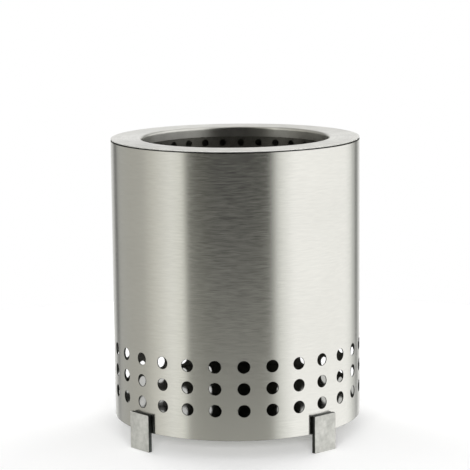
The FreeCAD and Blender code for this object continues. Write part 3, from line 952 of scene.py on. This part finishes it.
def rivets(name, node, grip, columns, rows, column_spacing, row_spacing, middle):
    """The rivets of one node, grown from one rivet."""
    piece = rivet(grip)
    grid = grown(name, rivet_tree, {
        "Rivet": piece, "Columns": columns, "Rows": rows, "Column spacing": column_spacing,
        "Row spacing": row_spacing, "Middle": middle, "Finish": rivet_steel,
    }, pattern=piece)
    stands_for(dressed(grid, rivet_steel, edge=0), node)


def pan():
    """The ash pan: a perforated wall closed by a pressed floor, with a rim turned out."""
    bottom, top, rim_radius = lowest("ash_pan"), highest("ash_pan"), reach("ash_pan")
    radius, rim = rim_radius - pan_rim_width, top - pan_sheet
    shell = perforated("pan_shell", pan_steel, [{
        "Radius": radius, "Columns": pan_columns, "Rows": 1, "Row pitch": 4 * pan_hole_radius,
        "Hole radius": pan_hole_radius, "Lowest row": top - pan_hole_drop,
        "Bottom": bottom + pan_floor_bend_radius, "Top": rim - pan_rim_bend_radius,
        "First angle": 0.0, "Steps a side": pan_side_steps,
    }])
    turned_over(shell, [(radius, rim), (radius, bottom), (0, bottom)], pan_floor_bend_radius)
    turned_over(shell, [(radius, bottom), (radius, rim), (rim_radius, rim)], pan_rim_bend_radius)
    stands_for(trued(dressed(shell, pan_steel, sheet=pan_sheet)), "ash_pan")


def pan_strap():
    """The ash pan's handle: a strap bent like a bridge, with its four rivets."""
    base = lowest("ash_pan_handle")
    underside = highest("ash_pan_handle") - strap_sheet
    end, foot_start = reach("ash_pan_handle"), strap_half_top + strap_spread
    points = [(-end, base), (-foot_start, base), (-strap_half_top, underside),
              (strap_half_top, underside), (foot_start, base), (end, base)]
    strap = drawn_out("pan_strap", points, [strap_bend_radius] * 4, strap_sheet, strap_width)
    stands_for(dressed(strap, pan_steel), "ash_pan_handle")
    rivets("pan_strap_rivets", "ash_pan_rivets", grip=pan_sheet + strap_sheet, columns=2, rows=2,
           column_spacing=foot_start + end + strap_bend_radius, row_spacing=strap_rivet_spacing,
           middle=(0, 0, lowest("ash_pan")))


def grate():
    """The grate: a dished plate with rings of holes punched through it."""
    low, rim, rim_radius = lowest("fire_grate"), highest("fire_grate") - grate_sheet, reach("fire_grate")
    dish = rim_radius - grate_rim_width - grate_spread
    points = [(0, low), (dish, low), (dish + grate_spread, rim), (rim_radius, rim)]
    bends = [grate_bend_radius + grate_sheet, grate_bend_radius]
    plate = spun_sheet("grate_plate", points, bends, grate_sheet)
    for row in range(grate_row_count):
        radius = grate_first_row_radius + row * grate_row_pitch
        grow(plate, punch_tree, {
            "Row radius": radius, "Holes": round(math.tau * radius / grate_hole_spacing),
            "Hole radius": grate_hole_radius, "Level": low, "Depth": 4 * grate_sheet, "Finish": grate_steel,
        })
    stands_for(dressed(made(plate), grate_steel, edge=0), "fire_grate")


def lift_ring():
    """The grate's folding lift ring: welded wire, bent square at the back and round at the front."""
    low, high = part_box("lift_ring")
    half, back = high.x - wire_radius, low.y + wire_radius
    bow_centre = high.y - wire_radius - half
    level = (low.z + high.z) / 2
    corners = [(-half, bow_centre), (-half, back), (half, back), (half, bow_centre)]
    path = rounded(corners, [wire_corner_radius] * 2)
    for step in range(1, bow_steps):
        angle = math.pi * step / bow_steps
        spoke = Vector((math.cos(angle), math.sin(angle)))
        path.append((Vector((0, bow_centre)) + spoke * half, -spoke))
    vertices = []
    for point, left in path:
        for side in range(wire_steps):
            angle = math.tau * side / wire_steps
            out = point + left * wire_radius * math.cos(angle)
            vertices.append((out.x, out.y, level + wire_radius * math.sin(angle)))
    faces = []
    for here in range(len(path)):
        start, after = here * wire_steps, (here + 1) % len(path) * wire_steps
        for side in range(wire_steps):
            other = (side + 1) % wire_steps
            faces.append((start + side, start + other, after + other, after + side))
    wire = outward(new_object("grate_lift_ring", vertices, faces))
    stands_for(dressed(wire, wire_steel, edge=0), "lift_ring")


def saddle():
    """The strip bent over the lift ring's straight side, with its two rivets."""
    low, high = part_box("ring_saddle")
    middle, base = (low.y + high.y) / 2, low.z
    hold = wire_radius + saddle_play
    end = hold + saddle_sheet + saddle_foot
    crown = high.z - saddle_sheet
    bend = saddle_sheet * 4 / 3
    points = [(-end, base), (-hold, base), (-hold, crown), (hold, crown), (hold, base), (end, base)]
    strip = drawn_out("ring_strap", points, [bend, hold, hold, bend], saddle_sheet, saddle_width)
    strip.data.transform(Matrix.Translation((0, middle, 0)) @ Matrix.Rotation(math.radians(90), 4, "Z"))
    stands_for(dressed(strip, clip_steel), "ring_saddle")
    rivets("ring_strap_rivets", "saddle_rivets", grip=grate_sheet + saddle_sheet, columns=1, rows=2,
           column_spacing=0.0, row_spacing=2 * (hold + saddle_sheet + saddle_foot / 2),
           middle=(0, middle, lowest("fire_grate")))


# The picture's camera, room and lamps


def camera():
    """The photograph's view, from a fit of the casing's outline and its holes."""
    lens = bpy.data.cameras.new("Camera")
    lens.lens = camera_lens
    lens.sensor_width = camera_sensor
    eye = in_scene("Camera", lens)
    compass = Matrix.Rotation(camera_compass, 4, "Z")
    stand = compass @ Matrix.Translation((0, -camera_distance, camera_height))
    head = Matrix.Rotation(camera_aside, 4, "Z") @ Matrix.Rotation(math.radians(90) - camera_dip, 4, "X")
    eye.matrix_world = stand @ head @ Matrix.Rotation(camera_tilt, 4, "Z")
    bpy.context.scene.camera = eye


def studio():
    """The room as the metal sees it: dark in front, grey to the left, white to the right and behind."""
    world = bpy.data.worlds.new("Studio")
    bpy.context.scene.world = world
    world.use_nodes = True
    world.node_tree.nodes.clear()
    add = partial(add_node, world.node_tree)
    direction = add("ShaderNodeTexCoord").outputs["Generated"]
    turned = add("ShaderNodeVectorRotate", {"Vector": direction, "Angle": -camera_compass},
                 rotation_type="Z_AXIS")
    parts = add("ShaderNodeSeparateXYZ", {0: turned}).outputs
    front = add("ShaderNodeMath", {0: parts["Y"], 1: -1.0}, operation="MULTIPLY")
    compass = add("ShaderNodeMath", {0: parts["X"], 1: front}, operation="ARCTAN2")
    share = add("ShaderNodeMath", {0: compass, 1: 1 / math.tau, 2: 0.5}, operation="MULTIPLY_ADD")
    tones = []
    for column in (1, 2):
        ramp = add("ShaderNodeValToRGB", {0: share})
        stops = ramp.color_ramp.elements
        stops.remove(stops[-1])
        stops[0].color = linear(surroundings[0][column])
        for spot in surroundings[1:]:
            stops.new(0.5 + spot[0] / 360).color = linear(spot[column])
        tones.append(ramp)
    dip = add("ShaderNodeMapRange", {
        "Value": parts["Z"], "From Min": -math.sin(floor_seen_from), "From Max": -math.sin(floor_seen_to),
    }, interpolation_type="SMOOTHSTEP")
    mirrored = add("ShaderNodeMix", {0: dip, 6: tones[0], 7: tones[1]}, data_type="RGBA")
    rays = add("ShaderNodeLightPath").outputs
    even = [room_level] * 3 + [1.0]
    room = add("ShaderNodeMix", {0: rays["Is Camera Ray"], 6: even, 7: linear("#FFFFFF")}, data_type="RGBA")
    seen = add("ShaderNodeMix", {
        0: rays["Is Glossy Ray"], 6: room.outputs[2], 7: mirrored.outputs[2],
    }, data_type="RGBA")
    backdrop = add("ShaderNodeBackground", {"Color": seen.outputs[2], "Strength": 1.0})
    add("ShaderNodeOutputWorld", {"Surface": backdrop})


def lamp(compass, rise, power):
    """A wide soft lamp that looks at the object: low ones draw the shadow out over the floor."""
    panel = bpy.data.lights.new("Soft lamp", "AREA")
    panel.shape = "RECTANGLE"
    panel.size = lamp_width
    panel.size_y = lamp_tall
    panel.energy = power
    hung = in_scene("Soft lamp", panel)
    arm = Matrix.Rotation(camera_compass + compass, 4, "Z") @ Matrix.Rotation(-rise, 4, "X")
    away = arm @ Vector((0, -lamp_distance, 0))
    hung.matrix_world = Matrix.Translation(away) @ away.to_track_quat("Z", "Y").to_matrix().to_4x4()
    hung.visible_glossy = False
    hung.visible_camera = False


def floor():
    """A pale floor that is white to the camera away from the object's shadow."""
    section = [(0, floor_level), (floor_radius, floor_level), (0, floor_level - floor_thickness)]
    sheet = spun("floor", section, floor_steps)
    material, add = new_material("Pale studio floor")[:2]
    shade = add("ShaderNodeBsdfDiffuse", {"Color": linear(floor_tone)})
    rays = add("ShaderNodeLightPath").outputs
    lift = add("ShaderNodeMath", {0: rays["Is Camera Ray"], 1: floor_lift}, operation="MULTIPLY")
    glow = add("ShaderNodeEmission", {"Color": linear("#FFFFFF"), "Strength": lift})
    both = add("ShaderNodeAddShader", {0: shade, 1: glow})
    add("ShaderNodeOutputMaterial", {"Surface": both})
    sheet.data.materials.append(material)
    sheet.visible_glossy = False


# Everything, in its place
camera()
studio()
for compass, rise, power in lamps:
    lamp(math.radians(compass), math.radians(rise), power)
floor()
casing()
cover_ring()
firebox_drum()
hanging_flange()
firebox_bottom()
pan_ledge()
bottom_plate()
for quarter, side in enumerate(("rear_right", "rear_left", "front_left", "front_right")):
    foot("leg_" + side, leg_angle + quarter * math.pi / 2)
foot_screws()
for quarter, side in enumerate(("right", "rear", "left", "front")):
    clip("spacer_clip_" + side, quarter * math.pi / 2)
pan()
pan_strap()
grate()
lift_ring()
saddle()

bpy.context.scene.view_settings.view_transform = "Standard"
